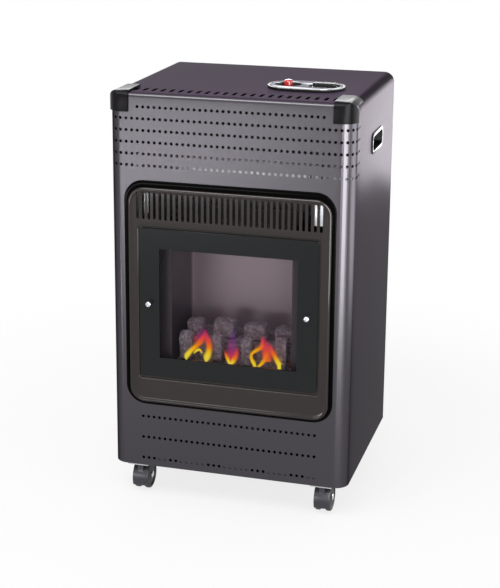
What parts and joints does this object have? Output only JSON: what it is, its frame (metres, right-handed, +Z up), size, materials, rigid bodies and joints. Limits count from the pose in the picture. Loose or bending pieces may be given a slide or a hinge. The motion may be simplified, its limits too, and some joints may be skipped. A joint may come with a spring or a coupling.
{
  "type": "portable gas cabinet heater",
  "caption": "Portable cabinet gas heater with a glass-fronted coal-effect firebox, slotted grille, top controls, side hand-holds, a lift-off rear cover and swivel castors.",
  "frame": {"origin": "floor level under the middle of the bounding box", "axes": "+Z up, the glass front faces -Y, +X to the right of someone facing the front"},
  "size_m": [0.4286, 0.465, 0.7424],
  "materials": {
    "paint": "satin metallic anthracite powder coat",
    "fascia_paint": "dark bronze satin paint",
    "black_gloss": "gloss black",
    "black_plastic": "satin black",
    "window_glass": "clear ceramic glass with a dark printed border",
    "chrome_trim": "polished",
    "silver_plate": "satin silver",
    "red_button": "gloss red",
    "liner_steel": "heat-darkened steel",
    "zinc_steel": "zinc plated",
    "brass_fitting": "machined",
    "copper_sheath": "copper sheath",
    "ceramic": "rough ceramic fibre",
    "lead_insulation": "silicone sleeve"
  },
  "bodies": {
    "cabinet": {"front_panel": "paint", "cabinet_shell": "paint", "base_tray": "paint", "corner_cap_left": "black_gloss", "corner_cap_right": "black_gloss", "surround_trim": "black_gloss", "hand_grip_left": "black_plastic", "hand_grip_right": "black_plastic", "control_bezel": "black_plastic", "piezo_igniter": "black_plastic", "glass_screw_left": "chrome_trim", "glass_screw_right": "chrome_trim", "fascia": "fascia_paint", "glass_pane": "window_glass", "firebox_liner": "liner_steel", "burner_tray": "liner_steel", "firebox_roof": "zinc_steel", "burner_tube": "zinc_steel", "partition": "zinc_steel", "heat_deflector": "zinc_steel", "control_bracket": "zinc_steel", "gas_valve": "zinc_steel", "gas_pipe": "zinc_steel", "pilot_burner": "zinc_steel", "ember_bed": "ceramic", "coal_back_1": "ceramic", "coal_back_2": "ceramic", "coal_back_3": "ceramic", "coal_back_4": "ceramic", "coal_front_1": "ceramic", "coal_front_2": "ceramic", "coal_front_3": "ceramic", "coal_front_4": "ceramic", "control_plate": "silver_plate", "inlet_nozzle": "brass_fitting", "injector_holder": "brass_fitting", "thermocouple": "copper_sheath", "ignition_lead": "lead_insulation", "castor_plate_front_left": "zinc_steel", "castor_plate_front_right": "zinc_steel", "castor_plate_rear_left": "zinc_steel", "castor_plate_rear_right": "zinc_steel"},
    "rear_cover": {"rear_cover": "paint"},
    "valve_rotor": {"valve_rotor": "brass_fitting"},
    "control_knob": {"control_knob": "black_plastic"},
    "ignition_button": {"ignition_button": "red_button"},
    "castor_front_left": {"castor_hood_front_left": "black_plastic", "castor_axle_front_left": "chrome_trim"},
    "wheels_front_left": {"castor_wheels_front_left": "black_plastic"},
    "castor_front_right": {"castor_hood_front_right": "black_plastic", "castor_axle_front_right": "chrome_trim"},
    "wheels_front_right": {"castor_wheels_front_right": "black_plastic"},
    "castor_rear_left": {"castor_hood_rear_left": "black_plastic", "castor_axle_rear_left": "chrome_trim"},
    "wheels_rear_left": {"castor_wheels_rear_left": "black_plastic"},
    "castor_rear_right": {"castor_hood_rear_right": "black_plastic", "castor_axle_rear_right": "chrome_trim"},
    "wheels_rear_right": {"castor_wheels_rear_right": "black_plastic"}
  },
  "joints": [
    {"name": "rear_cover_lift", "type": "slide", "parent": "cabinet", "child": "rear_cover", "axis": [0, 0, 1], "range_m": [0, 0.018]},
    {"name": "valve_turn", "type": "hinge", "parent": "cabinet", "child": "valve_rotor", "pos_m": [0.129, -0.08, 0.7], "axis": [0, 0, 1], "range_deg": [0, 210]},
    {"name": "knob_push", "type": "slide", "parent": "valve_rotor", "child": "control_knob", "axis": [0, 0, -1], "range_m": [0, 0.0035], "stiffness_N_per_m": 900, "springref_m": -0.003},
    {"name": "button_push", "type": "slide", "parent": "cabinet", "child": "ignition_button", "axis": [0, 0, -1], "range_m": [0, 0.005], "stiffness_N_per_m": 700, "springref_m": -0.004},
    {"name": "castor_swivel_front_left", "type": "hinge", "parent": "cabinet", "child": "castor_front_left", "pos_m": [-0.167, -0.1955, 0.05], "axis": [0, 0, 1], "continuous": true},
    {"name": "castor_roll_front_left", "type": "hinge", "parent": "castor_front_left", "child": "wheels_front_left", "pos_m": [-0.167, -0.1775, 0.025], "axis": [1, 0, 0], "continuous": true},
    {"name": "castor_swivel_front_right", "type": "hinge", "parent": "cabinet", "child": "castor_front_right", "pos_m": [0.167, -0.1955, 0.05], "axis": [0, 0, 1], "continuous": true},
    {"name": "castor_roll_front_right", "type": "hinge", "parent": "castor_front_right", "child": "wheels_front_right", "pos_m": [0.167, -0.1775, 0.025], "axis": [1, 0, 0], "continuous": true},
    {"name": "castor_swivel_rear_left", "type": "hinge", "parent": "cabinet", "child": "castor_rear_left", "pos_m": [-0.167, 0.0885, 0.05], "axis": [0, 0, 1], "continuous": true},
    {"name": "castor_roll_rear_left", "type": "hinge", "parent": "castor_rear_left", "child": "wheels_rear_left", "pos_m": [-0.167, 0.1065, 0.025], "axis": [1, 0, 0], "continuous": true},
    {"name": "castor_swivel_rear_right", "type": "hinge", "parent": "cabinet", "child": "castor_rear_right", "pos_m": [0.167, 0.0885, 0.05], "axis": [0, 0, 1], "continuous": true},
    {"name": "castor_roll_rear_right", "type": "hinge", "parent": "castor_rear_right", "child": "wheels_rear_right", "pos_m": [0.167, 0.1065, 0.025], "axis": [1, 0, 0], "continuous": true}
  ]
}
